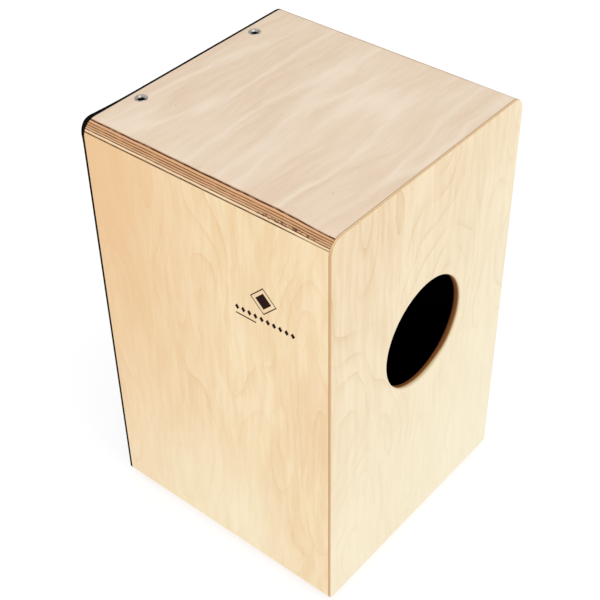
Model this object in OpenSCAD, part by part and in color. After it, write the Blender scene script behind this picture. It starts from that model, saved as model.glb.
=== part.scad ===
// Cajon: a box drum that is sat on and played on its thin front plate.
// +Z is up, the front plate faces -Y and the sound hole opens towards +Y.
// The origin is on the floor, under the middle of the box. Lengths are in millimetres.

/* [Box] */
// Width of the box
box_w = 300; // [290:1:330]
// Depth of the box, from the front plate's face to the back panel's face
box_d = 302; // [270:1:330]
// Height of the box without its feet
box_h = 480; // [440:1:520]
// Radius of the two long corners at the top
top_corner_r = 16; // [12:1:20]
// Radius of the two long corners at the bottom
bottom_corner_r = 4; // [2:1:8]
// Thickness of the seat, base and side panels
shell_t = 10; // [9:0.5:12]
// Thickness of the back panel where its rebated edge laps over the shell
back_t = 3.5; // [3:0.5:5]
// Whole thickness of the back panel inside that edge
back_body_t = 8; // [7:0.5:10]
// Thickness of the front plate
front_t = 3; // [2.7:0.1:4]
// Leg of the glued corner battens
batten_leg = 18; // [15:1:20]

/* [Sound hole] */
// Radius of the sound hole
sound_hole_r = 62.5; // [50:0.5:70]
// Height of the sound hole's centre above the bottom of the box
sound_hole_h = 278; // [200:1:320]

/* [Snare tuning] */
// Distance of each tuner from the middle of the box
tuner_x = 83.5; // [70:0.5:88]
// Distance of the tuner axis behind the front plate's face
tuner_inset = 14.7; // [13:0.1:15]
// Distance of each string from its tuner's axis
string_offset = 8; // [7.5:0.5:8.5]
// Radius of a snare string
string_r = 0.5; // [0.3:0.05:0.5]
// Length of the tuning screw's threaded shank
tuner_screw_l = 45; // [40:1:60]

/* [Feet and screws] */
// Height of a rubber foot
foot_h = 8; // [6:1:12]
// Largest radius of a rubber foot
foot_r = 15; // [12:0.5:18]
// Distance of a foot's centre in from the sides of the box
foot_inset = 30; // [28:1:40]
// Number of screws down each side of the front plate
side_screws = 6; // [4:1:8]
// Number of screws along the top and along the bottom of the front plate
row_screws = 4; // [3:1:4]

/* [Hidden] */

left = -1;
right = 1;
front = -1;
back = 1;
fine = 96;      // facets drawn on large rounds
small = 48;     // facets drawn on small rounds
cut = 1;        // how far a cutter runs past the face it opens
wood_gap = 0.05; // radial gap of a screw or sleeve in its hole
run_gap = 0.05;  // radial running clearance of the tuning screw

// Planes of the box
body_bottom = foot_h;
body_top = foot_h + box_h;
body_mid = foot_h + box_h / 2;
side_outer = box_w / 2;
side_inner = side_outer - shell_t;
front_face = -box_d / 2;
back_face = box_d / 2;
shell_front = front_face + front_t;
shell_back = back_face - back_t;
back_inner = back_face - back_body_t;
seat_bottom = body_top - shell_t;
base_top = body_bottom + shell_t;

// Corner battens
batten_nose = 6;      // length of the flat left beside each bevel
batten_end_gap = 10;  // how far a batten stops short of the shell's ends

// Back panel
back_gap = 0.1; // gap between its middle and the shell that it fits into

// Wood screws of the front plate
plate_screw_r = 1.6;
plate_screw_head_r = 3.5;
plate_screw_head_h = 2.4;
plate_screw_l = 19;
plate_screw_sink = 0.1;
side_screw_end = 40;  // first screw from the ends of the box
row_screw_past = 26;  // outermost screw of a row, past the tuner
cross_l = 3.8;
cross_w = 0.9;
cross_h = 1.5;

// Pan-head screws of the brackets, the anchor and the feet
pan_r = 3.2;
pan_h = 2.2;
pan_shank_r = 1.5;
pan_l = 8;

// Tuner ferrule
ferrule_r = 6.75;
ferrule_rim = 0.5;    // height of its rim above the seat
ferrule_edge = 0.4;   // bevel of its rim
ferrule_sink = 1;     // depth of the flange's seat in the wood
ferrule_sleeve_r = 5.2;
ferrule_sleeve_l = 3.8;
ferrule_dish_r = 5.7;
ferrule_dish_depth = 1.8;
ferrule_bore_r = 3.3;

// Tuning screw
tuner_y = front_face + tuner_inset;
tuner_screw_r = 2.5;
tuner_head_r = 4.25;
tuner_head_h = 5;
tuner_tip = 0.6;      // bevel at the shank's end
socket_across = 4;
socket_depth = 3;

// Bracket under the seat that carries the screw's head and guides the carriage
bracket_half_w = 23;
bracket_plate_t = 2;
bracket_front_gap = 0.6;
bracket_behind = 10;  // how far its plate runs behind the tuner's axis
bracket_y0 = shell_front + bracket_front_gap;
bracket_y1 = tuner_y + bracket_behind;
guide_inner = 12;
guide_t = 2;
guide_l = 32;
guide_half_d = 8;
guide_y0 = tuner_y - guide_half_d;
guide_y1 = tuner_y + guide_half_d;
bracket_screw_x = 18.5;

// String carriage, drawn at its rest height
carriage_side_gap = 0.3;
carriage_front_gap = 0.4;
carriage_behind = 6;  // how far it runs behind the tuner's axis
carriage_drop = 26;   // its underside below the seat's
carriage_h = 10;
carriage_half_w = guide_inner - carriage_side_gap;
carriage_bottom = seat_bottom - carriage_drop;
carriage_top = carriage_bottom + carriage_h;
carriage_y0 = shell_front + carriage_front_gap;
carriage_y1 = tuner_y + carriage_behind;

// Strings: each is held by a grooved ball end above the carriage and one below the anchor
string_gap = 0.2;     // gap round a string, to the front plate and in its notch
string_y = shell_front + string_r + string_gap;
string_notch_w = 2 * (string_r + string_gap);
string_notch_y = string_y + string_r + string_gap;
ball_r = 1.8;
ball_half_l = 1.9;
ball_core_gap = 0.02;
ball_groove_gap = 0.05;
ball_loop_r = ball_r - string_r;
ball_core_r = ball_loop_r - string_r - ball_core_gap;
ball_groove_half = string_r + ball_groove_gap;
ball_y = string_y + ball_loop_r;
hook_turn = 255;      // degrees that the string turns round its ball end
string_x = [-string_offset, string_offset];

// Anchor at the bottom of the strings
anchor_past = 20;     // how far it runs past each tuner
anchor_h = 34;
anchor_flange_gap = 4; // gap between its flange and the base panel
anchor_t = 2;
anchor_depth = 18;
anchor_half_w = tuner_x + anchor_past;
anchor_top = base_top + anchor_h;
anchor_back = carriage_y0 + anchor_depth;
anchor_flange_bottom = base_top + anchor_flange_gap;
anchor_block_depth = 20;
anchor_screw_z = (anchor_flange_bottom + anchor_top) / 2;
anchor_screw_x = [-tuner_x, 0, tuner_x];

// Feet
foot_x = box_w / 2 - foot_inset;
foot_y = box_d / 2 - foot_inset;
foot_taper = 1.5;     // how much narrower a foot is at the floor
foot_base_r = foot_r - foot_taper;
foot_recess_r = 5;
foot_recess_h = foot_h / 2;
foot_screw_l = 8.5;

wood = [0.90, 0.80, 0.66];
wood_side = [0.91, 0.80, 0.64];
wood_back = [0.95, 0.88, 0.74];
batten_wood = [0.80, 0.66, 0.46];
plate_black = [0.07, 0.07, 0.07];
screw_black = [0.15, 0.15, 0.15];
bright = [0.80, 0.80, 0.82];
steel = [0.55, 0.56, 0.58];
brass = [0.78, 0.62, 0.32];
rubber = [0.10, 0.10, 0.10];

// ---------- shared shapes ----------

// Half of the box's outline, above or below its middle, with two corners of radius r
module half_outline(level, r) {
    scale([1, level]) {
        translate([-side_outer, 0]) square([box_w, box_h / 2 - r]);
        translate([r - side_outer, 0]) square([box_w - 2 * r, box_h / 2]);
        for (side = [left, right])
            translate([side * (side_outer - r), box_h / 2 - r])
                circle(r, $fn = fine);
    }
}

// The box's whole rounded section, solid from y0 to y1
module box_section(y0, y1) {
    translate([0, y1, body_mid])
        rotate([90, 0, 0])
            linear_extrude(y1 - y0) {
                half_outline(1, top_corner_r);
                half_outline(-1, bottom_corner_r);
            }
}

// A block given by its lowest and highest corners
module block(low, high) {
    translate(low) cube(high - low);
}

// Even places of n things along a line from -reach to reach
function places(n, reach) = [for (i = [0 : n - 1]) reach * (2 * i / (n - 1) - 1)];

function plate_screw_sites_row(z) = [
    for (x = places(row_screws, tuner_x + row_screw_past)) [x, z]
];
function plate_screw_sites_side(side) = [
    for (z = places(side_screws, box_h / 2 - side_screw_end))
        [side * (side_outer - shell_t / 2), body_mid + z]
];
top_sites = plate_screw_sites_row(body_top - shell_t / 2);
bottom_sites = plate_screw_sites_row(body_bottom + shell_t / 2);

// Straight part and head of a countersunk screw that points along +Y, grown by a gap
module countersunk_body(gap) {
    rotate([-90, 0, 0]) {
        cylinder(h = plate_screw_l + gap, r = plate_screw_r + gap, $fn = small);
        cylinder(h = plate_screw_head_h, r1 = plate_screw_head_r + gap,
                 r2 = plate_screw_r + gap, $fn = small);
    }
}

// Countersunk wood screws with a cross recess, at [x, z] places on the front plate
module plate_screws(sites) {
    color(screw_black)
        for (site = sites)
            translate([site[0], front_face + plate_screw_sink, site[1]])
                difference() {
                    countersunk_body(0);
                    for (turn = [0, 90])
                        rotate([0, turn, 0])
                            translate([-cross_l / 2, -cut, -cross_w / 2])
                                cube([cross_l, cross_h + cut, cross_w]);
                }
}

// Matching holes in whatever the screws pass through
module plate_screw_holes(sites) {
    for (site = sites)
        translate([site[0], front_face + plate_screw_sink, site[1]]) {
            countersunk_body(wood_gap);
            rotate([90, 0, 0])
                cylinder(h = cut, r = plate_screw_head_r + wood_gap, $fn = small);
        }
}

// Pan-head screw that points along +Z, with its head below z = 0 and a cross recess
module pan_screw(shank_l) {
    difference() {
        union() {
            cylinder(h = shank_l, r = pan_shank_r, $fn = small);
            translate([0, 0, -pan_h])
                cylinder(h = pan_h, r = pan_r, $fn = small);
        }
        for (turn = [0, 90])
            rotate([0, 0, turn])
                translate([-cross_l / 2, -cross_w / 2, -pan_h - cut])
                    cube([cross_l, cross_w, cut + pan_h / 2]);
    }
}

// Pilot hole for a pan-head screw that points along +Z
module pan_pilot(shank_l) {
    translate([0, 0, -wood_gap])
        cylinder(h = shank_l + 2 * wood_gap, r = pan_shank_r + wood_gap, $fn = small);
}

module bracket_screw_places(side) {
    for (x = [-bracket_screw_x, bracket_screw_x])
        translate([side * tuner_x + x, tuner_y, seat_bottom - bracket_plate_t])
            children();
}

module foot_place(x_side, y_side) {
    translate([x_side * foot_x, y_side * foot_y, 0]) children();
}

// ---------- shell ----------

module seat() {
    color(wood)
        difference() {
            intersection() {
                box_section(shell_front, shell_back);
                block([-side_outer, shell_front, seat_bottom], [side_outer, shell_back, body_top]);
            }
            plate_screw_holes(top_sites);
            for (side = [left, right]) {
                translate([side * tuner_x, tuner_y, seat_bottom - cut])
                    cylinder(h = shell_t + 2 * cut, r = ferrule_sleeve_r + wood_gap, $fn = small);
                translate([side * tuner_x, tuner_y, body_top - ferrule_sink])
                    cylinder(h = ferrule_sink + cut, r = ferrule_r + wood_gap, $fn = small);
                bracket_screw_places(side) pan_pilot(pan_l);
            }
        }
}

module base_panel() {
    color(wood)
        difference() {
            intersection() {
                box_section(shell_front, shell_back);
                block([-side_inner, shell_front, body_bottom], [side_inner, shell_back, base_top]);
            }
            plate_screw_holes(bottom_sites);
            for (x = [left, right], y = [front, back])
                foot_place(x, y)
                    translate([0, 0, body_bottom - cut])
                        cylinder(h = foot_recess_h + foot_screw_l - body_bottom + cut + wood_gap,
                                 r = pan_shank_r + wood_gap, $fn = small);
        }
}

module side_panel(side) {
    x_low = side == right ? side_inner : -side_outer;
    color(wood_side)
        difference() {
            intersection() {
                box_section(shell_front, shell_back);
                block([x_low, shell_front, body_bottom],
                      [x_low + shell_t, shell_back, seat_bottom]);
            }
            plate_screw_holes(plate_screw_sites_side(side));
        }
}

// The back panel laps over the shell's edges, and its thicker middle fits inside them
module back_panel() {
    color(wood_back)
        difference() {
            union() {
                box_section(shell_back, back_face);
                block([back_gap - side_inner, back_inner, base_top + back_gap],
                      [side_inner - back_gap, shell_back + back_t / 2, seat_bottom - back_gap]);
            }
            translate([0, back_inner - cut, body_bottom + sound_hole_h])
                rotate([-90, 0, 0])
                    cylinder(h = back_body_t + 2 * cut, r = sound_hole_r, $fn = fine);
        }
}

module front_plate() {
    color(plate_black)
        difference() {
            box_section(front_face, shell_front);
            plate_screw_holes(top_sites);
            plate_screw_holes(bottom_sites);
            plate_screw_holes(plate_screw_sites_side(left));
            plate_screw_holes(plate_screw_sites_side(right));
        }
}

// Bevelled batten that fills the inner corner between a side panel and the seat or base
module batten(side, level) {
    z = level > 0 ? seat_bottom : base_top;
    length = shell_back - shell_front - 2 * batten_end_gap;
    color(batten_wood)
        translate([side * side_inner, shell_back - batten_end_gap, z])
            rotate([90, 0, 0])
                linear_extrude(length)
                    scale([side, level])
                        polygon([
                            [0, 0], [-batten_leg, 0], [-batten_leg, -batten_nose],
                            [-batten_nose, -batten_leg], [0, -batten_leg]
                        ]);
}

// ---------- snare tuning ----------

// Dished ring in the seat, through which the key reaches the tuning screw
module tuner_ferrule(side) {
    rim_top = body_top + ferrule_rim;
    color(bright)
        translate([side * tuner_x, tuner_y, 0])
            rotate_extrude($fn = fine)
                polygon([
                    [ferrule_bore_r, body_top - ferrule_sleeve_l],
                    [ferrule_sleeve_r, body_top - ferrule_sleeve_l],
                    [ferrule_sleeve_r, body_top - ferrule_sink],
                    [ferrule_r, body_top - ferrule_sink],
                    [ferrule_r, rim_top - ferrule_edge],
                    [ferrule_r - ferrule_edge, rim_top],
                    [ferrule_dish_r, rim_top],
                    [ferrule_bore_r, body_top - ferrule_dish_depth]
                ]);
}

// Plate screwed under the seat, with two legs that keep the carriage from turning
module tuner_bracket(side) {
    color(steel)
        translate([side * tuner_x, 0, 0])
            difference() {
                union() {
                    block([-bracket_half_w, bracket_y0, seat_bottom - bracket_plate_t],
                          [bracket_half_w, bracket_y1, seat_bottom]);
                    for (leg = [-guide_inner - guide_t, guide_inner])
                        block([leg, guide_y0, seat_bottom - guide_l],
                              [leg + guide_t, guide_y1, seat_bottom - bracket_plate_t]);
                }
                translate([0, tuner_y, seat_bottom - bracket_plate_t - cut])
                    cylinder(h = bracket_plate_t + 2 * cut, r = tuner_screw_r + run_gap, $fn = small);
                for (x = [-bracket_screw_x, bracket_screw_x])
                    translate([x, tuner_y, seat_bottom - bracket_plate_t - cut])
                        cylinder(h = bracket_plate_t + 2 * cut, r = pan_shank_r + wood_gap,
                                 $fn = small);
            }
}

module bracket_screws(side) {
    color(steel) bracket_screw_places(side) pan_screw(pan_l);
}

// Socket-head screw whose head bears on the bracket
module tuning_screw(side) {
    color(screw_black)
        translate([side * tuner_x, tuner_y, seat_bottom])
            difference() {
                union() {
                    cylinder(h = tuner_head_h, r = tuner_head_r, $fn = small);
                    translate([0, 0, tuner_tip - tuner_screw_l])
                        cylinder(h = tuner_screw_l - tuner_tip, r = tuner_screw_r, $fn = small);
                    translate([0, 0, -tuner_screw_l])
                        cylinder(h = tuner_tip, r1 = tuner_screw_r - tuner_tip,
                                 r2 = tuner_screw_r, $fn = small);
                }
                translate([0, 0, tuner_head_h - socket_depth])
                    cylinder(h = socket_depth + cut, r = socket_across / 2 / cos(30), $fn = 6);
            }
}

// Threaded block that the screw draws up, with a notch for each string
module string_carriage(side) {
    color(steel)
        translate([side * tuner_x, 0, 0])
            difference() {
                block([-carriage_half_w, carriage_y0, carriage_bottom],
                      [carriage_half_w, carriage_y1, carriage_top]);
                translate([0, tuner_y, carriage_bottom - cut])
                    cylinder(h = carriage_h + 2 * cut, r = tuner_screw_r + run_gap, $fn = small);
                for (x = string_x)
                    block([x - string_notch_w / 2, carriage_y0 - cut, carriage_bottom - cut],
                          [x + string_notch_w / 2, string_notch_y, carriage_top + cut]);
            }
}

// Small grooved spool along X, which the string loops round
module ball_end() {
    rotate([0, 90, 0]) {
        cylinder(h = 2 * ball_half_l, r = ball_core_r, center = true, $fn = small);
        for (z = [-ball_half_l, ball_groove_half])
            translate([0, 0, z])
                cylinder(h = ball_half_l - ball_groove_half, r = ball_r, $fn = small);
    }
}

module top_ball_ends(side) {
    color(brass)
        for (x = string_x)
            translate([side * tuner_x + x, ball_y, carriage_top + ball_r]) ball_end();
}

module bottom_ball_ends() {
    color(brass)
        for (side = [left, right], x = string_x)
            translate([side * tuner_x + x, ball_y, anchor_top - anchor_t - ball_r]) ball_end();
}

// Hook round a ball end: it leaves the string's end downwards and turns under and behind the ball
module string_hook() {
    rotate([-90, 0, 0])
        rotate([0, 90, 0])
            rotate_extrude(angle = hook_turn, $fn = small)
                translate([ball_loop_r, 0]) circle(string_r, $fn = small);
}

// Two wound strings, each a straight length with a hook at both ends
module snare_strings(side) {
    low = anchor_top - anchor_t - ball_r;
    high = carriage_top + ball_r;
    color(bright)
        for (x = string_x)
            translate([side * tuner_x + x, 0, 0])
                union() {
                    translate([0, string_y, low])
                        cylinder(h = high - low, r = string_r, $fn = small);
                    translate([0, ball_y, low]) string_hook();
                    translate([0, ball_y, high]) mirror([0, 0, 1]) string_hook();
                }
}

// Notched steel angle that holds the strings' lower ball ends
module string_anchor_angle() {
    color(steel)
        difference() {
            union() {
                block([-anchor_half_w, carriage_y0, anchor_top - anchor_t],
                      [anchor_half_w, anchor_back, anchor_top]);
                block([-anchor_half_w, anchor_back - anchor_t, anchor_flange_bottom],
                      [anchor_half_w, anchor_back, anchor_top]);
            }
            for (side = [left, right], x = string_x)
                translate([side * tuner_x + x, 0, 0])
                    block([-string_notch_w / 2, carriage_y0 - cut, anchor_top - anchor_t - cut],
                          [string_notch_w / 2, string_notch_y, anchor_top + cut]);
            for (x = anchor_screw_x)
                translate([x, anchor_back + cut, anchor_screw_z])
                    rotate([90, 0, 0])
                        cylinder(h = anchor_t + 2 * cut, r = pan_shank_r + wood_gap, $fn = small);
        }
}

module string_anchor_block() {
    color(batten_wood)
        difference() {
            block([-anchor_half_w, anchor_back, base_top],
                  [anchor_half_w, anchor_back + anchor_block_depth, anchor_top]);
            for (x = anchor_screw_x)
                translate([x, anchor_back - anchor_t, anchor_screw_z])
                    rotate([-90, 0, 0]) pan_pilot(pan_l + anchor_t);
        }
}

module anchor_screws() {
    color(steel)
        for (x = anchor_screw_x)
            translate([x, anchor_back - anchor_t, anchor_screw_z])
                rotate([-90, 0, 0]) pan_screw(pan_l + anchor_t);
}

// ---------- feet ----------

module foot(x_side, y_side) {
    color(rubber)
        foot_place(x_side, y_side)
            difference() {
                cylinder(h = foot_h, r1 = foot_base_r, r2 = foot_r, $fn = fine);
                translate([0, 0, -cut])
                    cylinder(h = foot_recess_h + cut, r = foot_recess_r, $fn = small);
                cylinder(h = foot_h + cut, r = pan_shank_r + wood_gap, $fn = small);
            }
}

module foot_screws() {
    color(steel)
        for (x = [left, right], y = [front, back])
            foot_place(x, y)
                translate([0, 0, foot_recess_h]) pan_screw(foot_screw_l);
}

// ---------- nodes ----------

seat();
base_panel();
side_panel(left);  // side_panel_left
side_panel(right);  // side_panel_right
back_panel();
front_plate();
batten(left, 1);  // batten_top_left
batten(right, 1);  // batten_top_right
batten(left, -1);  // batten_bottom_left
batten(right, -1);  // batten_bottom_right
plate_screws(top_sites);  // front_screws_top
plate_screws(bottom_sites);  // front_screws_bottom
plate_screws(plate_screw_sites_side(left));  // front_screws_left
plate_screws(plate_screw_sites_side(right));  // front_screws_right
tuner_ferrule(left);  // tuner_ferrule_left
tuner_ferrule(right);  // tuner_ferrule_right
tuner_bracket(left);  // tuner_bracket_left
tuner_bracket(right);  // tuner_bracket_right
bracket_screws(left);  // bracket_screws_left
bracket_screws(right);  // bracket_screws_right
tuning_screw(left);  // tuning_screw_left
tuning_screw(right);  // tuning_screw_right
string_carriage(left);  // string_carriage_left
string_carriage(right);  // string_carriage_right
top_ball_ends(left);  // top_ball_ends_left
top_ball_ends(right);  // top_ball_ends_right
snare_strings(left);  // snare_strings_left
snare_strings(right);  // snare_strings_right
bottom_ball_ends();
string_anchor_angle();
string_anchor_block();
anchor_screws();
foot(left, front);  // foot_front_left
foot(right, front);  // foot_front_right
foot(left, back);  // foot_back_left
foot(right, back);  // foot_back_right
foot_screws();
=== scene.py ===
import math

import bmesh
import bpy
from mathutils import Matrix, Vector

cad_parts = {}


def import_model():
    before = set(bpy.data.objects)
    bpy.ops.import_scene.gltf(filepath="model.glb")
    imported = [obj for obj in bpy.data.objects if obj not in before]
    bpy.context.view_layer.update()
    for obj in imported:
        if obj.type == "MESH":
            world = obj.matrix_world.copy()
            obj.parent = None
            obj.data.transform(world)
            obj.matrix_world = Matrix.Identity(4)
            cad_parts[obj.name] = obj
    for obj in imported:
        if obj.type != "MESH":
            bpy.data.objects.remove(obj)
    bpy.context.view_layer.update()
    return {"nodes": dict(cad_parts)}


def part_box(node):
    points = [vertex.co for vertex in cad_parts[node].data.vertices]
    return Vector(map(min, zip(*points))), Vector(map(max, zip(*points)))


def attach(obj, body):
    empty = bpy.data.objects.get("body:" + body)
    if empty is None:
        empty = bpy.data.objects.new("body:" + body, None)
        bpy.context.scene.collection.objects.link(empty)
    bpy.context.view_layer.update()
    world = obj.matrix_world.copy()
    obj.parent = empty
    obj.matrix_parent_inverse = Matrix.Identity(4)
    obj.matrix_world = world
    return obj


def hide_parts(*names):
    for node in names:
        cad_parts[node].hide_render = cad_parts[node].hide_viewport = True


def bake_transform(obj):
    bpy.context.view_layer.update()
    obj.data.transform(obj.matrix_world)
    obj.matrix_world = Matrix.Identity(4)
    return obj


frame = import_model()

# The cajon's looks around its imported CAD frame: +Z up, front plate towards -Y, sound hole towards +Y.
# Places and meshes are in metres. Materials work in millimetres, and so do panel_t and back_t.
MM = 0.001
SIDES = {"left": -1, "right": 1}
nodes = frame["nodes"]


# ---------- places taken from the CAD frame ----------

seat_low, seat_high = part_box("seat")
side_low, side_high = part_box("side_panel_right")
back_low, back_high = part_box("back_panel")
base_low, base_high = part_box("base_panel")
plate_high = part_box("front_plate")[1]
hole_r = 62.5 * MM
hole_z = back_low.z + 278 * MM
top_round, bottom_round = 16 * MM, 4 * MM
half_w = back_high.x
panel_t = round((seat_high.z - seat_low.z) / MM, 3)
back_t = round((back_high.y - back_low.y) / MM, 3)


def middle(node):
    """Middle of a CAD node's box."""
    low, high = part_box(node)
    return (low + high) / 2


# ---------- materials ----------

def tint(r, g, b):
    """Linear colour of an sRGB colour given in steps of 0 to 255."""
    def linear(step):
        c = step / 255
        return c / 12.92 if c <= 0.04045 else ((c + 0.055) / 1.055) ** 2.4
    return (linear(r), linear(g), linear(b), 1.0)


class Look:
    """A material whose nodes are made by short calls. A call gives back an output socket."""

    def __init__(self, name):
        self.material = bpy.data.materials.new(name)
        self.material.use_nodes = True
        self.tree = self.material.node_tree
        self.tree.nodes.clear()
        place = self.node("TexCoord").outputs["Object"]
        self.place = self.node("VectorMath", {0: place, 3: 1 / MM}, operation="SCALE").outputs[0]
        split = self.node("SeparateXYZ", {0: self.place})
        self.x, self.y, self.z = split.outputs

    def node(self, kind, inputs=None, **settings):
        made = self.tree.nodes.new("ShaderNode" + kind)
        for key, value in settings.items():
            setattr(made, key, value)
        for key, value in (inputs or {}).items():
            if isinstance(value, bpy.types.NodeSocket):
                self.tree.links.new(value, made.inputs[key])
            else:
                made.inputs[key].default_value = value
        return made

    def calc(self, operation, *values, clamp=False):
        return self.node("Math", dict(enumerate(values)), operation=operation, use_clamp=clamp).outputs[0]

    def times(self, first, *others):
        """Product of masks."""
        for other in others:
            first = self.calc("MULTIPLY", first, other)
        return first

    def most(self, first, *others):
        """Highest of masks."""
        for other in others:
            first = self.calc("MAXIMUM", first, other)
        return first

    def away(self, value, centre):
        """Distance of a value from a centre."""
        return self.calc("ABSOLUTE", self.calc("SUBTRACT", value, centre))

    def pack(self, x, y, z=0.0):
        return self.node("CombineXYZ", {0: x, 1: y, 2: z}).outputs[0]

    def noise(self, at, period, detail=2.0, rough=0.5, seed=0):
        """Noise about 0.5 whose features are about period millimetres apart."""
        scale = [1 / p for p in period]
        moved = self.node("VectorMath", {0: at, 1: scale, 2: (seed * 7.31, seed * 3.77, seed * 5.19)},
                          operation="MULTIPLY_ADD").outputs[0]
        return self.node("TexNoise", {"Vector": moved, "Scale": 1.0, "Detail": detail, "Roughness": rough},
                         noise_dimensions="3D").outputs[0]

    def remap(self, value, start, end, low=0.0, high=1.0, shape="SMOOTHSTEP"):
        """low where value is at start, high where it is at end, and no further on either side."""
        return self.node("MapRange", {0: value, 1: start, 2: end, 3: low, 4: high},
                         interpolation_type=shape).outputs[0]

    def mix(self, share, a, b):
        """Colour a, with the given share of colour b."""
        return self.node("Mix", {0: share, 6: a, 7: b}, data_type="RGBA").outputs[2]

    def ramp(self, value, stops, shape="LINEAR"):
        """Colours or greys at stops of (value, colour)."""
        made = self.node("ValToRGB", {0: value})
        band = made.color_ramp
        band.interpolation = shape
        for place, _ in stops[2:]:
            band.elements.new(place)
        for element, (place, colour) in zip(band.elements, sorted(stops, key=lambda s: s[0])):
            element.position = place
            element.color = colour if isinstance(colour, tuple) else (colour, colour, colour, 1.0)
        return made.outputs[0]

    def finish(self, colour, roughness, height, relief, gloss=0.5, coat=0.0, metal=0.0):
        """Ends the material. height from 0 to 1 stands for relief in millimetres."""
        bump = self.node("Bump", {"Strength": 1.0, "Distance": relief * MM, "Height": height})
        inputs = {"Base Color": colour, "Roughness": roughness, "Normal": bump.outputs[0],
                  "Metallic": metal, "Specular IOR Level": gloss,
                  "Coat Weight": coat, "Coat Roughness": 0.22}
        shader = self.node("BsdfPrincipled", inputs)
        self.node("OutputMaterial", {0: shader.outputs[0]})
        return self.material


GLUE_BROWN = tint(74, 36, 14)

# Glue lines as (depth, darkness, half width), and one colour for each ply they part.
PANEL_GLUE = [(1.0, 1.0, 0.4), (2.5, 0.9, 0.33), (4.0, 0.95, 0.38), (5.45, 0.9, 0.37), (7.2, 1.0, 0.5)]
PANEL_PLIES = [tint(216, 188, 158), tint(222, 174, 132), tint(211, 162, 119), tint(212, 168, 126),
               tint(216, 176, 136), tint(242, 214, 176)]
SEAT_GLUE = PANEL_GLUE + [(9.75, 1.0, 0.55)]
SEAT_PLIES = PANEL_PLIES + [tint(214, 178, 132)]
BACK_GLUE = [(1.6, 0.5, 0.3), (3.9, 0.5, 0.3), (6.0, 0.9, 0.4), (7.4, 0.9, 0.3)]
BACK_PLIES = [tint(240, 214, 172), tint(246, 220, 176), tint(222, 166, 106), tint(206, 140, 80),
              tint(214, 156, 100)]


def birch(look, across, along, seed, tones, rings, ring_gap=(110, 360), sway=16.0, ring_share=0.6):
    """Face of a peeled birch veneer: thin growth rings cut into long wavy contours, soft flames between
    them, cloudy tone, fine fibre and short pores. Gives back its colour and height, and the sheet's own
    place before and after the bending."""
    sheet = look.pack(across, along)
    wide = look.calc("SUBTRACT", look.noise(sheet, (60, 130, 1), 2, seed=seed), 0.5)
    fine = look.calc("SUBTRACT", look.noise(sheet, (10, 26, 1), 3, 0.6, seed=seed + 1), 0.5)
    bent = look.calc("MULTIPLY_ADD", fine, 7.0, look.calc("MULTIPLY_ADD", wide, sway, across))
    figure = look.pack(bent, along)
    field = look.noise(figure, (ring_gap[0], ring_gap[1], 1), 1, seed=seed + 2)
    saw = look.calc("FRACT", look.calc("MULTIPLY", field, rings))
    late = look.calc("POWER", look.remap(saw, 0.1, 1.0, shape="LINEAR"), 5.0)
    patchy = look.remap(look.noise(sheet, (34, 90, 1), 2, seed=seed + 3), 0.36, 0.64, 0.1, 1.0)
    ring = look.calc("MULTIPLY", late, patchy)
    flame = look.remap(look.noise(figure, (7, 70, 1), 3, 0.55, seed=seed + 7), 0.34, 0.66, 0.0, 0.6)
    cloud = look.remap(look.noise(sheet, (80, 150, 1), 3, seed=seed + 4), 0.32, 0.68)
    fibre = look.noise(figure, (0.9, 34, 1), 3, 0.6, seed=seed + 5)
    pore = look.remap(look.noise(figure, (0.8, 5, 1), 1, seed=seed + 6), 0.71, 0.80)
    deep = look.calc("MULTIPLY_ADD", cloud, 0.5, flame, clamp=True)
    colour = look.mix(deep, tones["light"], tones["deep"])
    colour = look.mix(look.calc("MULTIPLY", ring, ring_share), colour, tones["ring"])
    colour = look.mix(look.remap(fibre, 0.3, 0.75, 0.0, 0.22), colour, tones["fibre"])
    colour = look.mix(look.calc("MULTIPLY", pore, 0.35), colour, tones["pore"])
    height = look.calc("MULTIPLY_ADD", pore, -0.6, fibre)
    return colour, height, sheet, figure


def ply_edge(look, depth, thickness, glue, plies, seed):
    """The plies and glue lines that a cut edge shows, as their colour and where the first one starts.
    depth runs inwards from the face."""
    long_grain = look.noise(look.place, (0.8, 40, 0.8), 3, 0.6, seed=seed)
    end_grain = look.noise(look.place, (0.7, 0.9, 0.5), 2, seed=seed + 1)
    drift = look.calc("SUBTRACT", look.noise(look.place, (50, 36, 50), 2, seed=seed + 2), 0.5)
    depth = look.calc("MULTIPLY_ADD", drift, 0.5, depth)
    share = look.calc("DIVIDE", depth, thickness)
    starts = [0.0] + [at / thickness for at, _, _ in glue]
    wood = look.ramp(share, list(zip(starts, plies)), "CONSTANT")
    cross = look.ramp(share, [(s, float(i % 2)) for i, s in enumerate(starts)], "CONSTANT")
    grain = look.mix(cross, end_grain, long_grain)
    wood = look.mix(look.remap(grain, 0.3, 0.72, 0.0, 0.35), wood, tint(168, 112, 66))
    stops = [(0.0, 0.0)]
    for at, dark, half in glue:
        stops += [((at - half) / thickness, 0.0), ((at - half * 0.45) / thickness, dark),
                  ((at + half * 0.45) / thickness, dark), ((at + half) / thickness, 0.0)]
    line = look.ramp(share, stops)
    blotch = look.remap(look.noise(look.place, (6, 9, 3), 3, seed=seed + 3), 0.32, 0.6, 0.7, 1.0)
    colour = look.mix(look.calc("MULTIPLY", line, blotch), wood, GLUE_BROWN)
    first = glue[0][0] - glue[0][2]
    return colour, look.remap(depth, first - 0.3, first, shape="LINEAR")


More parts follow.
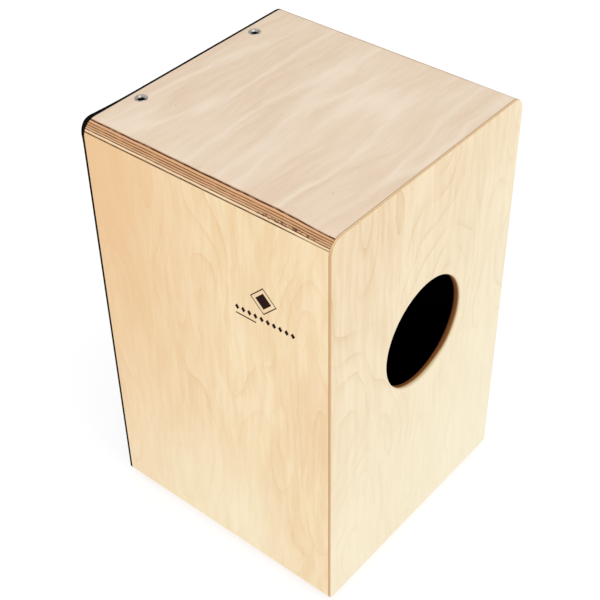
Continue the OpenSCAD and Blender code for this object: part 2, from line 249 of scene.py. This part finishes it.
def inner_face_near_black(look, depth, inner, colour):
    """The colour made near-black on the panel's inner face, from depth inner, and the mask of that
    near-black.
    """
    grain = look.noise(look.place, (1.2, 1.2, 30), 2, seed=9)
    near_black = look.mix(look.remap(grain, 0.3, 0.7), tint(9, 8, 7), tint(19, 16, 14))
    mask = look.remap(depth, inner - 0.04, inner - 0.02, shape="LINEAR")
    return look.mix(mask, colour, near_black), mask


def satin(look, height, dull):
    """Roughness, relief and gloss of thin satin lacquer, which is missing wherever dull is 1."""
    rough = look.calc("MULTIPLY_ADD", height, 0.12, look.remap(dull, 0, 1, 0.40, 0.75))
    gloss = look.remap(dull, 0, 1, 0.35, 0.08, "LINEAR")
    coat = look.remap(dull, 0, 1, 0.1, 0.0, "LINEAR")
    return rough, height, 0.05, gloss, coat


def seat_look():
    """Pinkish veneer with pale bands and a few flecks. The plies that show along its round side edges
    sag a little towards the back, are chipped near the back corners and fade out along the left."""
    look = Look("birch_seat")
    depth = look.calc("SUBTRACT", seat_high.z / MM, look.z)
    tones = {"light": tint(229, 209, 186), "deep": tint(221, 197, 171), "ring": tint(208, 180, 150),
             "fibre": tint(208, 182, 154), "pore": tint(170, 130, 98)}
    colour, height, sheet, figure = birch(look, look.y, look.x, 3, tones, 7, (120, 420), 34.0, 0.3)
    ridge = look.calc("MULTIPLY", look.away(look.noise(figure, (46, 330, 1), 1, seed=21), 0.5), 2.0)
    colour = look.mix(look.remap(ridge, 0.16, 0.0, 0.0, 0.32), colour, tint(242, 228, 210))
    fleck = look.remap(look.noise(sheet, (3, 9, 1), 1, seed=60), 0.83, 0.87)
    colour = look.mix(look.calc("MULTIPLY", fleck, 0.4), colour, tint(120, 78, 50))
    sagged = look.calc("SUBTRACT", depth, look.remap(look.y, 80, 140, 0.0, 0.75))
    edge, cut = ply_edge(look, sagged, panel_t, SEAT_GLUE, SEAT_PLIES, 31)
    chip = look.times(look.remap(look.noise(look.place, (1.6, 2.4, 1.0), 1, seed=70), 0.52, 0.57, 0.0, 0.9),
                      look.remap(depth, 5.6, 6.0), look.remap(depth, 8.2, 7.7),
                      look.remap(look.y, 60, 80), look.remap(look.y, 138, 126))
    edge = look.mix(chip, edge, GLUE_BROWN)
    soft = look.times(look.remap(look.x, -100, -142, 0.0, 0.5), look.remap(depth, 3.5, 1.5))
    edge = look.mix(soft, edge, tint(228, 206, 180))
    colour = look.mix(cut, colour, edge)
    colour, inside = inner_face_near_black(look, depth, panel_t, colour)
    return look.finish(colour, *satin(look, height, look.most(cut, inside)))


def side_look(side):
    """Creamy veneer, warmer towards the front and the top and paler low down, that wraps over the
    rounding below the seat. The right side carries the mark."""
    look = Look("birch_side_" + side)
    sign = SIDES[side]
    top = side_high.z / MM
    depth = look.calc("SUBTRACT", half_w / MM, look.calc("MULTIPLY", look.x, sign))
    tones = {"light": tint(241, 221, 184), "deep": tint(232, 203, 158), "ring": tint(216, 160, 98),
             "fibre": tint(218, 182, 134), "pore": tint(186, 128, 74)}
    colour, height, sheet, _ = birch(look, look.y, look.z, 5 + sign, tones, 15, (105, 330), 20.0, 0.34)
    warm = look.times(look.remap(look.y, 50, -150, 0.0, 0.85),
                      look.remap(look.z, 40, 420, 0.25, 1.0, "LINEAR"))
    colour = look.mix(warm, colour, tint(226, 182, 130))
    pale = look.times(look.remap(look.z, 210, 70, 0.0, 0.4), look.remap(look.y, 110, 50),
                      look.remap(look.y, -150, -30, 0.35, 1.0))
    colour = look.mix(pale, colour, tint(244, 236, 206))
    tan = look.times(look.remap(look.y, 70, 115, 0.0, 0.32), look.remap(look.away(look.z, 255), 95, 35))
    colour = look.mix(tan, colour, tint(226, 188, 144))
    fleck = look.remap(look.noise(sheet, (16, 7, 1), 1, seed=44), 0.80, 0.88, 0.0, 0.55)
    colour = look.mix(fleck, colour, tint(206, 146, 92))
    wrap = look.remap(look.z, top - 6, top - 1.5, 0.0, 1.3, "LINEAR")
    edge, cut = ply_edge(look, look.calc("SUBTRACT", depth, wrap), panel_t, PANEL_GLUE, PANEL_PLIES, 35)
    colour = look.mix(cut, colour, edge)
    seam = look.remap(look.z, top - 1.0, top - 0.4, 0.0, 0.85)
    colour = look.mix(seam, colour, GLUE_BROWN)
    colour, inside = inner_face_near_black(look, depth, panel_t, colour)
    dull = look.most(cut, inside, seam)
    if side == "right":
        ink = mark(look)
        colour = look.mix(ink, colour, tint(36, 14, 10))
        dull = look.most(dull, ink)
    return look.finish(colour, *satin(look, height, dull))


def mark(look):
    """A generic printed mark: a rhombus inside a rhombus, over a row of small rhombi and a bar."""
    emblem_y, emblem_z, emblem_reach = 72.0, 384.0, 16.0
    row_y, row_z, step, count = 39.0, 361.0, 7.5, 10
    bead_y, bead_z = 2.7, 3.6
    bar_y, bar_z = (37.0, 62.0), (352.6, 354.2)

    def rhombus(from_y, z, reach_y, reach_z):
        """1 on the outline of a rhombus, less inside it and more outside."""
        return look.calc("ADD", look.calc("DIVIDE", from_y, reach_y),
                         look.calc("DIVIDE", look.away(look.z, z), reach_z))

    def between(value, low, high):
        """1 where a value lies between two others."""
        return look.times(look.calc("GREATER_THAN", value, low), look.calc("LESS_THAN", value, high))

    reach = rhombus(look.away(look.y, emblem_y), emblem_z, emblem_reach, emblem_reach)
    emblem = look.most(between(reach, 0.9, 1.0), look.calc("LESS_THAN", reach, 0.6))
    cell = look.calc("PINGPONG", look.calc("SUBTRACT", look.y, row_y), step / 2)
    beads = look.times(look.calc("LESS_THAN", rhombus(cell, row_z, bead_y, bead_z), 1.0),
                       between(look.y, row_y - step / 2, row_y + step * (count - 0.5)))
    bar = look.times(between(look.y, *bar_y), between(look.z, *bar_z))
    return look.most(emblem, beads, bar)


def back_look():
    """Pale veneer, paler low down. Its lip is cut to tan wood, with a dark joint against the seat."""
    look = Look("birch_back")
    top = back_high.z / MM
    depth = look.calc("SUBTRACT", back_high.y / MM, look.y)
    tones = {"light": tint(241, 222, 189), "deep": tint(229, 203, 164), "ring": tint(208, 166, 112),
             "fibre": tint(224, 196, 152), "pore": tint(188, 140, 90)}
    colour, height, _, _ = birch(look, look.x, look.z, 13, tones, 16, (100, 300), 22.0, 0.52)
    pale = look.calc("ADD", look.remap(look.z, 460, 80, 0.0, 0.75, "LINEAR"),
                     look.remap(look.x, 110, -140, 0.0, 0.25))
    colour = look.mix(look.calc("MULTIPLY", pale, 0.7), colour, tint(247, 241, 213))
    edge, cut = ply_edge(look, depth, back_t, BACK_GLUE, BACK_PLIES, 37)
    colour = look.mix(cut, colour, edge)
    from_axis = look.node("VectorMath", {0: look.pack(look.x, look.z), 1: (0, hole_z / MM, 0)},
                          operation="DISTANCE").outputs["Value"]
    off = look.calc("SUBTRACT", from_axis, hole_r / MM)
    # the sound hole's wall: its plies, with painted shade further in and painted light low down
    inner = look.remap(off, 2.2, 1.0, 0.0, 0.8)
    colour = look.mix(look.times(inner, cut), colour, hole_wall_plies_and_shade(look, depth))
    crown = look.remap(look.z, top - 14, top - 3)
    lip = look.times(look.remap(depth, 0.3, 1.3, 0.0, 0.85), look.remap(off, 15.5, 21.5),
                     look.remap(crown, 0.0, 1.0, 1.0, 0.35))
    colour = look.mix(lip, colour, tint(204, 160, 113))
    joint = look.times(look.remap(depth, 2.7, 3.2, 0.0, 0.75), crown)
    colour = look.mix(joint, colour, tint(110, 66, 34))
    colour, inside = inner_face_near_black(look, depth, back_t, colour)
    return look.finish(colour, *satin(look, height, look.most(cut, inside)))


def hole_wall_plies_and_shade(look, depth):
    """The sound hole's wall: ply bands under painted shade that darkens it from cream at its rim to brown
    further in, with painted light that keeps the cream deeper low down.
    """
    bottom = (hole_z - hole_r) / MM
    # painted light: low down, where light from above falls on the wall, the cream reaches deeper
    lit_low_shift = look.remap(look.z, bottom + 0.5, bottom + 18.5, 1.8, 0.0)
    # painted shade: from over-bright cream at the rim to dark brown inwards, for the shade inside the hole
    return look.ramp(look.calc("DIVIDE", look.calc("SUBTRACT", depth, lit_low_shift), back_t), [
        (0.0, tint(255, 243, 200)), (0.15, tint(255, 228, 172)), (0.26, tint(226, 168, 106)),
        (0.33, tint(172, 108, 58)), (0.43, tint(130, 72, 34)), (0.6, tint(126, 70, 34)),
        (0.72, tint(134, 80, 44)), (0.84, tint(104, 58, 32)), (1.0, tint(50, 24, 10))])


def base_look():
    """The base, seen from below: veneer much like that of the sides."""
    look = Look("birch_base")
    depth = look.calc("SUBTRACT", look.z, base_low.z / MM)
    tones = {"light": tint(240, 220, 186), "deep": tint(230, 202, 160), "ring": tint(210, 166, 114),
             "fibre": tint(220, 186, 140), "pore": tint(182, 128, 78)}
    colour, height, _, _ = birch(look, look.y, look.x, 17, tones, 15)
    edge, cut = ply_edge(look, depth, panel_t, PANEL_GLUE, PANEL_PLIES, 39)
    colour = look.mix(cut, colour, edge)
    colour, inside = inner_face_near_black(look, depth, panel_t, colour)
    return look.finish(colour, *satin(look, height, look.most(cut, inside)))


def softwood_look():
    """Planed softwood coloured near-black: straight grain still shows in the surface."""
    look = Look("near_black_softwood")
    rings = look.noise(look.place, (2.2, 120, 2.2), 2, seed=4)
    late = look.remap(rings, 0.5, 0.62)
    colour = look.mix(late, tint(20, 17, 15), tint(10, 9, 8))
    return look.finish(colour, look.remap(late, 0, 1, 0.75, 0.6), late, 0.06)


def lacquer_look():
    """Satin black lacquer over a thin plate, with the wood's vertical grain just telegraphing through.
    The plate's cut edges are matt."""
    look = Look("black_lacquer")
    grain = look.noise(look.place, (1.6, 8, 90), 4, 0.6, seed=2)
    haze = look.noise(look.place, (70, 70, 110), 3, seed=5)
    rub = look.remap(look.noise(look.place, (3, 3, 26), 3, seed=8), 0.66, 0.8)
    facing = look.node("SeparateXYZ", {0: look.node("TexCoord").outputs["Normal"]}).outputs[1]
    edge = look.remap(look.calc("ABSOLUTE", facing), 0.95, 0.6)
    colour = look.mix(look.remap(grain, 0.3, 0.7), tint(13, 13, 14), tint(22, 21, 21))
    colour = look.mix(edge, colour, tint(8, 8, 8))
    rough = look.calc("MULTIPLY_ADD", rub, 0.12, look.remap(haze, 0.3, 0.7, 0.28, 0.38))
    rough = look.most(rough, look.calc("MULTIPLY", edge, 0.85))
    gloss = look.remap(edge, 0, 1, 0.3, 0.06, "LINEAR")
    coat = look.remap(edge, 0, 1, 0.12, 0.0, "LINEAR")
    return look.finish(colour, rough, grain, 0.03, gloss, coat)


def metal_look(name, colour, dull, rough, period, relief=0.01, metal=1.0):
    """Metal with a drawn or tumbled surface and slightly duller patches."""
    look = Look(name)
    drawn = look.noise(look.place, period, 3, 0.6, seed=6)
    patch = look.remap(look.noise(look.place, (9, 9, 9), 3, seed=7), 0.35, 0.7)
    tone = look.mix(patch, colour, dull)
    drawn_rough = look.remap(drawn, 0.25, 0.75, rough - 0.06, rough + 0.08)
    spread = look.calc("MULTIPLY_ADD", patch, 0.12, drawn_rough)
    return look.finish(tone, spread, drawn, relief, metal=metal)


def ring_look(side):
    """Nickel with the lathe's fine circles round the ring's own axis, and painted shade in its rougher bore.
    """
    look = Look("polished_nickel_" + side)
    centre = middle("tuner_ferrule_" + side) / MM
    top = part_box("tuner_ferrule_" + side)[1].z / MM
    out = look.node("VectorMath", {0: look.pack(look.x, look.y), 1: (centre.x, centre.y, 0)},
                    operation="DISTANCE").outputs["Value"]
    turned = look.noise(look.pack(out, 0.0, look.z), (0.22, 1, 0.5), 2, seed=3)
    wear = look.remap(look.noise(look.place, (4, 4, 4), 3, seed=4), 0.4, 0.7)
    # painted shade: the bore below the rim is darkened, as it lies in shade inside the ring
    inner = look.remap(look.z, top - 1.5, top - 2.3)
    colour = look.mix(wear, tint(188, 184, 179), tint(150, 142, 134))
    colour = look.mix(inner, colour, tint(46, 40, 36))
    rough = look.calc("MULTIPLY_ADD", wear, 0.14, look.remap(turned, 0.3, 0.7, 0.16, 0.28))
    rough = look.most(rough, look.calc("MULTIPLY", inner, 0.6))
    return look.finish(colour, rough, turned, 0.012, metal=1.0)


def string_look():
    """Fine wire wound round a core: the turns show as close rings along the string."""
    look = Look("wound_string")
    winding = 0.42
    turn = look.calc("SINE", look.calc("MULTIPLY", look.z, 2 * math.pi / winding))
    height = look.calc("MULTIPLY_ADD", turn, 0.5, 0.5)
    tarnish = look.remap(look.noise(look.place, (20, 20, 34), 3, seed=5), 0.4, 0.7)
    colour = look.mix(tarnish, tint(206, 205, 204), tint(168, 162, 152))
    return look.finish(colour, look.remap(tarnish, 0, 1, 0.24, 0.42), height, 0.05, metal=1.0)


def rubber_look():
    """Black moulded rubber with a fine grit, dusty where it meets the floor."""
    look = Look("foot_rubber")
    grit = look.noise(look.place, (0.5, 0.5, 0.5), 3, 0.6, seed=3)
    dust = look.remap(look.z, 3.0, 0.0, 0.0, 0.4)
    dusty = look.calc("MULTIPLY", dust, look.remap(look.noise(look.place, (5, 5, 2), 3, seed=4), 0.35, 0.65))
    colour = look.mix(dusty, tint(30, 30, 31), tint(78, 75, 70))
    return look.finish(colour, look.remap(grit, 0.3, 0.7, 0.62, 0.82), grit, 0.04)


# ---------- mesh making ----------

def dress(piece, material):
    """Gives a piece one material, on the object, so that a CAD node's own mesh stays as it is."""
    if not piece.material_slots:
        piece.data.materials.append(None)
    for place in piece.material_slots:
        place.link = "OBJECT"
        place.material = material
    return piece


def ease(piece, width, segments=2, angle=32):
    """Eases a piece's sharp edges by width millimetres."""
    weld = piece.modifiers.new("weld", "WELD")
    weld.merge_threshold = 2e-6
    bevel = piece.modifiers.new("ease", "BEVEL")
    bevel.width = width * MM
    bevel.segments = segments
    bevel.limit_method = "ANGLE"
    bevel.angle_limit = math.radians(angle)
    bevel.use_clamp_overlap = True
    normals = piece.modifiers.new("normals", "WEIGHTED_NORMAL")
    normals.weight = 80
    normals.keep_sharp = False
    return piece


def eased(node, material, width):
    """Shows a CAD node with one material and its edges eased."""
    return ease(dress(nodes[node], material), width)


def piece_from(name, points, faces, material, sharp=40):
    """A piece made of points in the shared frame, welded, with its normals outwards."""
    mesh = bpy.data.meshes.new(name)
    mesh.from_pydata(points, [], faces)
    made = bmesh.new()
    made.from_mesh(mesh)
    bmesh.ops.remove_doubles(made, verts=made.verts, dist=1e-7)
    bmesh.ops.dissolve_degenerate(made, edges=made.edges, dist=1e-7)
    bmesh.ops.recalc_face_normals(made, faces=made.faces)
    made.to_mesh(mesh)
    made.free()
    mesh.shade_smooth()
    mesh.set_sharp_from_angle(angle=math.radians(sharp))
    piece = bpy.data.objects.new(name, mesh)
    bpy.context.scene.collection.objects.link(piece)
    return dress(piece, material)


def stand_in(piece, body, slot, *replaced):
    """Puts a finished piece in place of CAD nodes."""
    if body:
        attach(piece, body)
    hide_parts(*replaced)
    return piece


def loft(rings, closed=False):
    """Faces between rings of the same number of points. closed also joins the last ring to the first."""
    count = len(rings[0])
    points = [p for ring in rings for p in ring]
    spans = len(rings) if closed else len(rings) - 1
    faces = []
    for i in range(spans):
        a, b = i * count, (i + 1) % len(rings) * count
        for j in range(count):
            k = (j + 1) % count
            faces.append((a + j, a + k, b + k, b + j))
    return points, faces


def lathe(profile, centre, segments=72):
    """A closed profile of (radius, height) in millimetres, turned about a vertical axis."""
    rings = []
    for r, z in profile:
        rings.append([Vector((centre[0] + r * MM * math.cos(a), centre[1] + r * MM * math.sin(a), z * MM))
                      for a in (2 * math.pi * i / segments for i in range(segments))])
    return loft(rings, closed=True)


def box_outline(inset, count=16):
    """Points of the box's front outline, set in by inset metres, as (x, z)."""
    corners = ((1, 1, top_round), (-1, 1, top_round), (-1, -1, bottom_round), (1, -1, bottom_round))
    points = []
    for i, (sx, sz, r) in enumerate(corners):
        cx = sx * (half_w - r)
        cz = back_high.z - r if sz > 0 else back_low.z + r
        for j in range(count + 1):
            a = math.pi / 2 * (i + j / count)
            points.append((cx + (r - inset) * math.cos(a), cz + (r - inset) * math.sin(a)))
    return points


def round_over(r, steps=6):
    """Quarter round as (inset, distance below the face), from the wall to the face."""
    turns = [math.pi / 2 * i / steps for i in range(steps + 1)]
    return [(r * (1 - math.cos(a)), r * (1 - math.sin(a))) for a in turns]


def back_panel():
    """Back panel: its rebated edge laps over the shell and is rounded over, its thicker middle fits
    inside the shell, and the sound hole's edge is eased."""
    inner, lip, outer = back_low.y, side_high.y, back_high.y
    gap, lip_round, hole_round, chamfer = 0.1 * MM, 2.6 * MM, 2.2 * MM, 0.3 * MM
    tongue_x = side_low.x - gap
    tongue_low, tongue_high = base_high.z + gap, seat_low.z - gap
    corners = ((tongue_x, tongue_high), (-tongue_x, tongue_high),
               (-tongue_x, tongue_low), (tongue_x, tongue_low))
    shells = [[[Vector((x * width, y, z)) for x, z in corners] for y, width in ((inner, 0.999), (lip, 1.0))]]
    walls = [(0.0, lip)] + [(i, outer - d) for i, d in round_over(lip_round, 8)]
    shells.append([[Vector((x, y, z)) for x, z in box_outline(inset)] for inset, y in walls])
    rims = [(chamfer, inner), (0.0, inner + chamfer)]
    rims += [(i, outer - d) for i, d in round_over(hole_round, 7)]
    turns = [2 * math.pi * i / 128 for i in range(128)]
    shells.append([[Vector(((hole_r + inset) * math.cos(a), y, hole_z + (hole_r + inset) * math.sin(a)))
                    for a in turns] for inset, y in rims])
    points, faces = [], []
    for rings in shells:
        more, more_faces = loft(rings)
        faces += [tuple(i + len(points) for i in face) for face in more_faces]
        points += more
    piece = piece_from("back_panel_board", points, faces, back_look())
    filled = bmesh.new()
    filled.from_mesh(piece.data)
    for level in (inner, lip, outer):
        rim = [e for e in filled.edges if e.is_boundary
               and all(abs(v.co.y - level) < 1e-6 for v in e.verts)]
        bmesh.ops.triangle_fill(filled, edges=rim, use_beauty=True)
    bmesh.ops.recalc_face_normals(filled, faces=filled.faces)
    for face in filled.faces:
        face.smooth = True
    filled.to_mesh(piece.data)
    filled.free()
    piece.data.set_sharp_from_angle(angle=math.radians(40))
    piece.modifiers.new("normals", "WEIGHTED_NORMAL").weight = 80
    return stand_in(piece, "box", "back_ply", "back_panel")


def front_plate():
    """The front plate's own shape, with the top corner on the right side sprung a little off the shell.
    It bends along cuts both ways, at insets in millimetres from its right and top edges."""
    reach_x, reach_z, lift = 70 * MM, 26 * MM, 4 * MM
    insets = (70, 58, 48, 40, 33, 27, 23, 19.5, 16, 13, 10, 7.5, 5.5, 3.5, 1.8)
    mesh = nodes["front_plate"].data.copy()
    plate = bmesh.new()
    plate.from_mesh(mesh)
    bmesh.ops.remove_doubles(plate, verts=plate.verts, dist=2e-6)
    for inset in insets:
        for place, direction in (((plate_high.x - inset * MM, 0, 0), (1, 0, 0)),
                                 ((0, 0, plate_high.z - inset * MM), (0, 0, 1))):
            bmesh.ops.bisect_plane(plate, geom=plate.verts[:] + plate.edges[:] + plate.faces[:],
                                   plane_co=place, plane_no=direction, dist=1e-7)
    tip = Vector((plate_high.x, 0, plate_high.z))
    for vert in plate.verts:
        near = 1 - math.hypot((vert.co.x - tip.x) / reach_x, (vert.co.z - tip.z) / reach_z)
        if near > 0:
            vert.co.y -= lift * near ** 2
    plate.to_mesh(mesh)
    plate.free()
    mesh.shade_smooth()
    mesh.set_sharp_from_angle(angle=math.radians(35))
    mesh.materials.clear()
    piece = bpy.data.objects.new("front_plate_board", mesh)
    bpy.context.scene.collection.objects.link(piece)
    ease(dress(piece, lacquer_look()), 0.45)
    return stand_in(piece, "box", "black_lacquer", "front_plate")


def tube(path, r, sides=12):
    """Points and faces of a closed tube along a path of points in one plane of constant x."""
    rings = []
    for i, p in enumerate(path):
        ahead = (path[min(i + 1, len(path) - 1)] - path[max(i - 1, 0)]).normalized()
        across = Vector((1, 0, 0))
        up = ahead.cross(across).normalized()
        rings.append([p + r * (math.cos(a) * across + math.sin(a) * up)
                      for a in (2 * math.pi * k / sides for k in range(sides))])
    points, faces = loft(rings)
    faces.append(tuple(range(sides)))
    faces.append(tuple(range(len(points) - sides, len(points))))
    return points, faces


def snare_strings(side, material):
    """Two wound strings, each hooked round a ball end above and below."""
    low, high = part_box("snare_strings_" + side)
    ball_low, ball_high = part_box("top_ball_ends_" + side)
    foot_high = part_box("bottom_ball_ends")[1]
    r = 0.5 * MM
    ball_r = (ball_high.z - ball_low.z) / 2
    top, bottom = ball_high.z - ball_r, foot_high.z - ball_r
    ball_y = (ball_low.y + ball_high.y) / 2
    turn_r = ball_r - r
    string_y = ball_y - turn_r
    hook_turn, hook_steps, steps = math.radians(255), 22, 40
    points, faces = [], []

    def round_ball(x, z, share):
        """Point of a hook. share runs from 0 at the straight string to 1 or -1 at the hook's end."""
        a = math.pi - hook_turn * share
        return Vector((x, ball_y + turn_r * math.cos(a), z + turn_r * math.sin(a)))

    for x in (low.x + r, high.x - r):
        path = [round_ball(x, bottom, -i / hook_steps) for i in range(hook_steps, 0, -1)]
        path += [Vector((x, string_y, bottom + (top - bottom) * i / steps)) for i in range(steps + 1)]
        path += [round_ball(x, top, i / hook_steps) for i in range(1, hook_steps + 1)]
        more, more_faces = tube(path, r)
        faces += [tuple(i + len(points) for i in face) for face in more_faces]
        points += more
    piece = piece_from("wound_strings_" + side, points, faces, material, 50)
    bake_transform(piece)
    return stand_in(piece, None, "string_steel", "snare_strings_" + side)


def tuning_screw(side, material):
    """Socket-head screw with its real thread, a knurled head and a hexagon socket."""
    low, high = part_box("tuning_screw_" + side)
    centre = (low + high) / 2
    count, steps, pitch = 36, 4, 0.8 * MM
    major, minor, head_r, tooth, key = 2.5 * MM, 2.05 * MM, 4.25, 0.12, 4.0
    head_height, plain_length, socket_depth = 5 * MM, 3 * MM, 3 * MM
    bearing = high.z - head_height
    tip, top = low.z, bearing - plain_length
    socket = high.z - socket_depth
    turns = [2 * math.pi * j / count for j in range(count)]

    def at(r, a, z):
        """Point at radius r and turn a round the screw's axis."""
        return Vector((centre.x + r * math.cos(a), centre.y + r * math.sin(a), z))

    depth = (minor, minor, major, major)
    last = int((top - tip) / pitch * steps)
    points, faces = [], []
    for k in range(-steps, last + 1):
        for j, a in enumerate(turns):
            z = tip + pitch * (k / steps + j / count)
            threaded = tip + 0.4 * MM < z < top - 0.2 * MM
            z = min(max(z, tip), top)
            points.append(at(depth[k % steps] if threaded else minor, a, z))
    rows = last + 1 + steps
    for k in range(rows - 1):
        for j in range(count - 1):
            a, b = k * count + j, (k + 1) * count + j
            faces.append((a, a + 1, b + 1, b))
        if k + 1 + steps < rows:
            a, b = k * count + count - 1, (k + 1) * count + count - 1
            faces.append((a, (k + steps) * count, (k + 1 + steps) * count, b))
    piece = piece_from("threaded_tuning_screw_" + side, points, faces, material, 35)
    made = bmesh.new()
    made.from_mesh(piece.data)
    bmesh.ops.holes_fill(made, edges=[e for e in made.edges if e.is_boundary], sides=0)

    def circle(r, z):
        return [at(r * MM, a, z) for a in turns]

    def knurl(z):
        """Ring with shallow teeth."""
        return [at((head_r - tooth * (j % 2)) * MM, a, z) for j, a in enumerate(turns)]

    def hexagon(across, z):
        """Ring with six flats."""
        wide = across / 2 * MM
        return [at(wide / math.cos((a + math.pi / 6) % (math.pi / 3) - math.pi / 6), a, z) for a in turns]

    rings = [circle(0.01, top), circle(2.5, top), circle(2.5, bearing - 0.3 * MM), circle(2.7, bearing),
             circle(3.9, bearing), knurl(bearing + 0.4 * MM), knurl(high.z - 1.0 * MM),
             circle(4.0, high.z - 0.5 * MM), circle(3.6, high.z), circle(2.75, high.z),
             hexagon(key, high.z - 0.35 * MM), hexagon(key, socket + 0.3 * MM), circle(0.01, socket)]
    points, faces = loft(rings)
    faces += [tuple(range(count)), tuple(range(len(points) - count, len(points)))]
    head = piece_from("head_" + side, points, faces, material, 35)
    made.from_mesh(head.data)
    bmesh.ops.recalc_face_normals(made, faces=made.faces)
    made.to_mesh(piece.data)
    made.free()
    bpy.data.objects.remove(head)
    piece.data.shade_smooth()
    piece.data.set_sharp_from_angle(angle=math.radians(35))
    return stand_in(piece, "tuning_screw_" + side, "black_screw", "tuning_screw_" + side)


def foot(node, material):
    """Moulded rubber foot: soft outer edges, a grip groove underneath and a recess for its screw."""
    low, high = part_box(node)
    centre = (low + high) / 2
    profile = [(1.55, 8.0), (14.4, 8.0), (14.8, 7.85), (15.0, 7.5), (14.86, 6.6), (14.5, 5.9), (14.36, 5.2),
               (14.1, 3.4), (13.8, 1.6), (13.62, 0.9), (13.3, 0.35), (12.8, 0.06), (12.3, 0.0), (10.6, 0.0),
               (10.3, 0.12), (10.1, 0.5), (9.5, 0.62), (8.9, 0.5), (8.7, 0.12), (8.4, 0.0), (6.2, 0.0),
               (5.6, 0.1), (5.15, 0.4), (5.0, 0.9), (5.0, 4.0), (1.55, 4.0)]
    points, faces = lathe(profile, (centre.x, centre.y))
    piece = piece_from(node + "_rubber", points, faces, material, 50)
    return stand_in(piece, "box", "foot_rubber", node)


# ---------- pieces ----------

softwood = softwood_look()
oxide = metal_look("black_oxide", tint(30, 30, 32), tint(44, 42, 41), 0.42, (1.4, 1.4, 1.4), 0.02, 0.7)
zinc = metal_look("zinc_plate", tint(196, 198, 200), tint(172, 172, 170), 0.36, (14, 1.2, 1.2))
brass = metal_look("brass", tint(214, 178, 104), tint(176, 138, 78), 0.3, (2, 2, 2))
rubber = rubber_look()
string = string_look()

eased("seat", seat_look(), 0.35)
eased("base_panel", base_look(), 0.35)
for side in SIDES:
    eased("side_panel_" + side, side_look(side), 0.18)
    eased("tuner_ferrule_" + side, ring_look(side), 0.12)
    eased("tuner_bracket_" + side, zinc, 0.4)
    eased("string_carriage_" + side, zinc, 0.3)
    eased("bracket_screws_" + side, zinc, 0.25)
    eased("top_ball_ends_" + side, brass, 0.2)
    eased("front_screws_" + side, oxide, 0.12)
    for level in ("top", "bottom"):
        eased(f"batten_{level}_{side}", softwood, 0.8)
    for level in ("front", "back"):
        foot(f"foot_{level}_{side}", rubber)
    snare_strings(side, string)
    tuning_screw(side, oxide)
eased("front_screws_top", oxide, 0.12)
eased("front_screws_bottom", oxide, 0.12)
eased("bottom_ball_ends", brass, 0.2)
eased("string_anchor_angle", zinc, 0.4)
eased("string_anchor_block", softwood, 0.6)
eased("anchor_screws", zinc, 0.25)
eased("foot_screws", zinc, 0.25)
back_panel()
front_plate()


# ---------- floor, light and camera ----------

def floor():
    """Plain white floor that glows a little, so that shadows on it stay faint."""
    bpy.ops.mesh.primitive_circle_add(vertices=96, radius=45, fill_type="NGON", location=(0, 0, 0))
    ground = bpy.context.active_object
    ground.name = "studio_floor"
    look = Look("studio_floor")
    glow = look.node("Emission", {0: (1, 1, 1, 1), 1: 0.72})
    matt = look.node("BsdfDiffuse", {0: (0.34, 0.34, 0.34, 1)})
    both = look.node("AddShader", {0: glow.outputs[0], 1: matt.outputs[0]})
    look.node("OutputMaterial", {0: both.outputs[0]})
    dress(ground, look.material)


def soft_box(name, towards, distance, size, power):
    """Square soft light that faces the middle of the box."""
    target = Vector((0, 0, 0.25))
    light = bpy.data.lights.new(name, "AREA")
    light.shape = "SQUARE"
    light.size = size
    light.energy = power
    lamp = bpy.data.objects.new(name, light)
    lamp.location = target + Vector(towards).normalized() * distance
    lamp.rotation_mode = "QUATERNION"
    lamp.rotation_quaternion = (target - lamp.location).to_track_quat("-Z", "Y")
    bpy.context.scene.collection.objects.link(lamp)


def world(strength):
    """Even white light from all round."""
    sky = bpy.data.worlds.new("studio")
    sky.use_nodes = True
    sky.node_tree.nodes["Background"].inputs["Color"].default_value = (1, 1, 1, 1)
    sky.node_tree.nodes["Background"].inputs["Strength"].default_value = strength
    bpy.context.scene.world = sky


def camera():
    """The view from behind the right side, from above, through a short telephoto lens."""
    azimuth, elevation, roll = (math.radians(a) for a in (130.1, 40.3, -1.03))
    distance, across, up = 1.3589, -0.0081, 0.0004
    back = Vector((math.sin(azimuth) * math.cos(elevation), -math.cos(azimuth) * math.cos(elevation),
                   math.sin(elevation)))
    level = back.cross(Vector((0, 0, -1))).normalized()
    above = level.cross(-back)
    right = math.cos(roll) * level + math.sin(roll) * above
    top = -math.sin(roll) * level + math.cos(roll) * above
    lens = bpy.data.cameras.new("camera")
    lens.sensor_width = 36
    lens.lens = 75.85
    lens.clip_start = 0.05
    lens.clip_end = 120
    eye = bpy.data.objects.new("camera", lens)
    aim = Vector((0, 0, (back_low.z + back_high.z) / 2))
    turn = Matrix((right, top, back)).transposed().to_4x4()
    eye.matrix_world = Matrix.Translation(aim + back * distance + right * across + top * up) @ turn
    bpy.context.scene.collection.objects.link(eye)
    bpy.context.scene.camera = eye


floor()
world(0.86)
soft_box("key", (0.2, 0.9, 1.3), 2.6, 1.8, 14)
soft_box("side_fill", (1.4, -0.3, 0.9), 2.6, 1.6, 8)
camera()
bpy.context.scene.view_settings.view_transform = "Standard"
